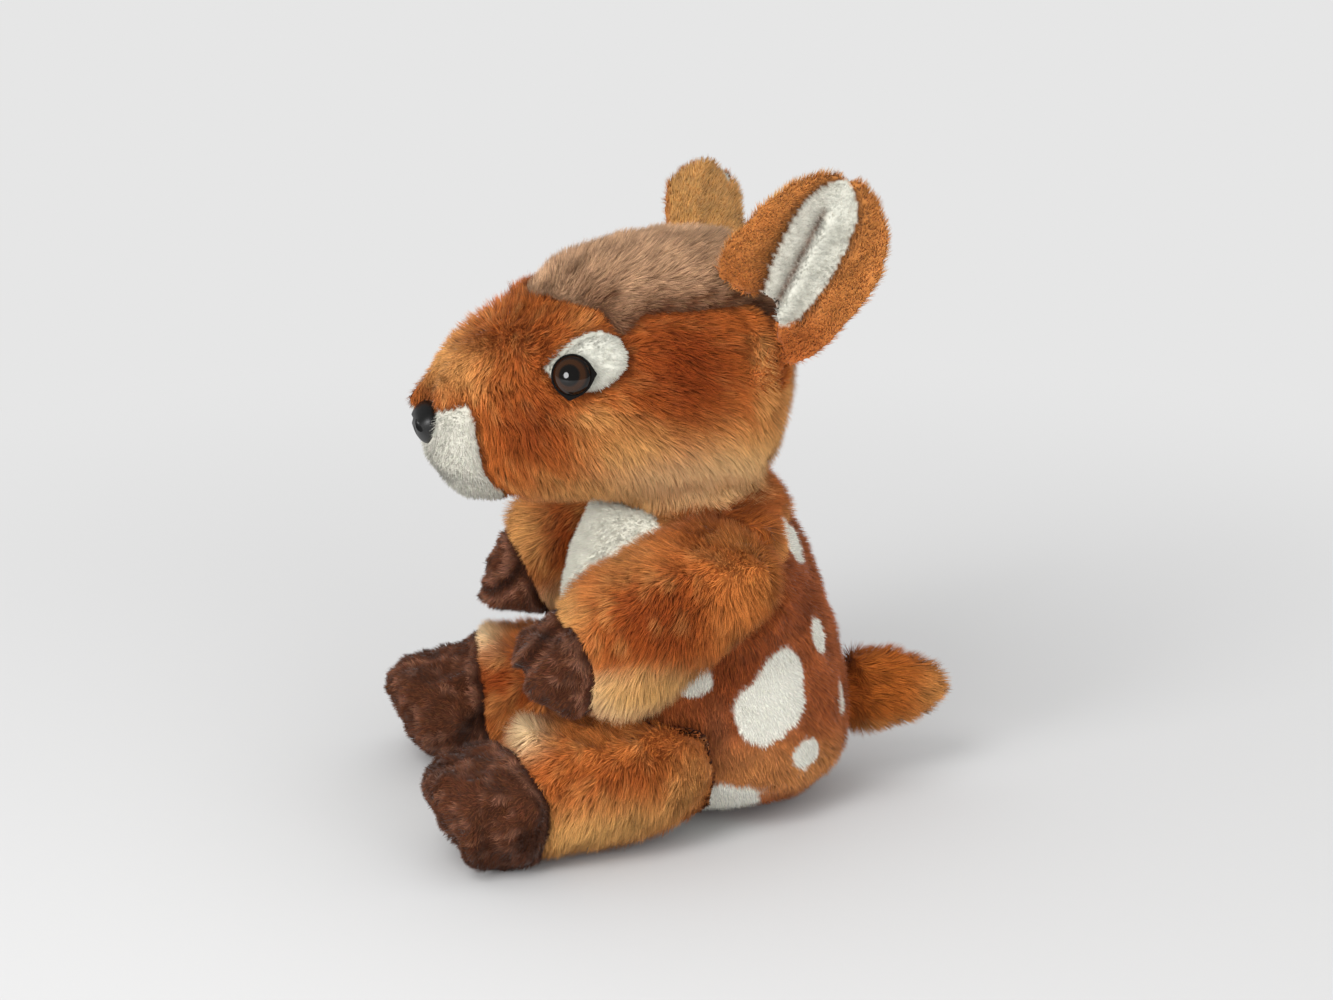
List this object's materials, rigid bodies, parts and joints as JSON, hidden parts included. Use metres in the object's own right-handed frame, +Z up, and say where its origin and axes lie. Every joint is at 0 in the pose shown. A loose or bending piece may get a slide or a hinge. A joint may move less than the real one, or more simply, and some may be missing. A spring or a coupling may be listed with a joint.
{
  "type": "plush fawn",
  "caption": "Soft toy fawn that sits upright, with long plush skins over stuffing, cloven cloth hooves, cupped ears and moulded eyes and nose.",
  "frame": {"origin": "middle of the pressed-flat seat under the body, on the surface that the toy sits on", "axes": "+Z up, the face looks along -Y, the toy's own left side is +X"},
  "size_m": [0.1472, 0.1697, 0.2025],
  "materials": {
    "rust_plush": "plush",
    "crown_plush": "plush",
    "back_plush": "plush",
    "white_plush": "plush",
    "chest_plush": "plush",
    "hoof_plush": "plush",
    "filling": "loose polyester fibre",
    "pellet_cloth": "woven bag of pellets",
    "eye_plastic": "polished",
    "nose_plastic": "satin",
    "washer_plastic": "moulded"
  },
  "bodies": {
    "torso": {"belly_panel": "chest_plush", "shoulder_panel": "rust_plush", "back_panel": "back_plush", "body_stuffing": "filling", "pellet_bag": "pellet_cloth"},
    "head": {"head_side_left": "rust_plush", "head_side_right": "rust_plush", "crown_panel": "crown_plush", "muzzle_panel": "white_plush", "eye_patch_left": "white_plush", "eye_patch_right": "white_plush", "head_stuffing": "filling", "eye_left": "eye_plastic", "eye_left_washer": "washer_plastic", "eye_right": "eye_plastic", "eye_right_washer": "washer_plastic", "nose": "nose_plastic", "nose_washer": "washer_plastic"},
    "ear_left_body": {"ear_left": "rust_plush", "ear_lining_left": "white_plush"},
    "ear_right_body": {"ear_right": "rust_plush", "ear_lining_right": "white_plush"},
    "tail_body": {"tail": "rust_plush", "tail_stuffing": "filling"},
    "arm_left_body": {"arm_left": "rust_plush", "arm_hoof_left": "hoof_plush", "arm_stuffing_left": "filling"},
    "leg_left_body": {"leg_left": "rust_plush", "leg_hoof_left": "hoof_plush", "leg_stuffing_left": "filling"},
    "arm_right_body": {"arm_right": "rust_plush", "arm_hoof_right": "hoof_plush", "arm_stuffing_right": "filling"},
    "leg_right_body": {"leg_right": "rust_plush", "leg_hoof_right": "hoof_plush", "leg_stuffing_right": "filling"}
  },
  "joints": [
    {"name": "neck_turn", "type": "hinge", "parent": "torso", "child": "head", "pos_m": [0, -0.002, 0.099], "axis": [0, 0, 1], "range_deg": [-20, 20], "stiffness_Nm_per_rad": 0.12},
    {"name": "shoulder_left", "type": "hinge", "parent": "torso", "child": "arm_left_body", "pos_m": [0.034, 0, 0.084], "axis": [1, 0, 0], "range_deg": [-20, 0], "stiffness_Nm_per_rad": 0.05},
    {"name": "shoulder_right", "type": "hinge", "parent": "torso", "child": "arm_right_body", "pos_m": [-0.034, 0, 0.084], "axis": [1, 0, 0], "range_deg": [-20, 0], "stiffness_Nm_per_rad": 0.05},
    {"name": "hip_left", "type": "hinge", "parent": "torso", "child": "leg_left_body", "pos_m": [0.028, -0.002, 0.025], "axis": [0, 0, 1], "range_deg": [-6, 20], "stiffness_Nm_per_rad": 0.06},
    {"name": "hip_right", "type": "hinge", "parent": "torso", "child": "leg_right_body", "pos_m": [-0.028, -0.002, 0.025], "axis": [0, 0, -1], "range_deg": [-6, 20], "stiffness_Nm_per_rad": 0.06},
    {"name": "ear_left_flop", "type": "hinge", "parent": "head", "child": "ear_left_body", "pos_m": [0.02676, 0.01047, 0.14092], "axis": [0.1045, -0.9945, 0], "range_deg": [-12, 12], "stiffness_Nm_per_rad": 0.04},
    {"name": "ear_right_flop", "type": "hinge", "parent": "head", "child": "ear_right_body", "pos_m": [-0.02745, 0.0112, 0.13764], "axis": [0.1045, -0.9945, 0], "range_deg": [-12, 12], "stiffness_Nm_per_rad": 0.04},
    {"name": "tail_wag", "type": "hinge", "parent": "torso", "child": "tail_body", "pos_m": [0, 0.038, 0.028], "axis": [0, 0, 1], "range_deg": [-20, 20], "stiffness_Nm_per_rad": 0.03}
  ]
}
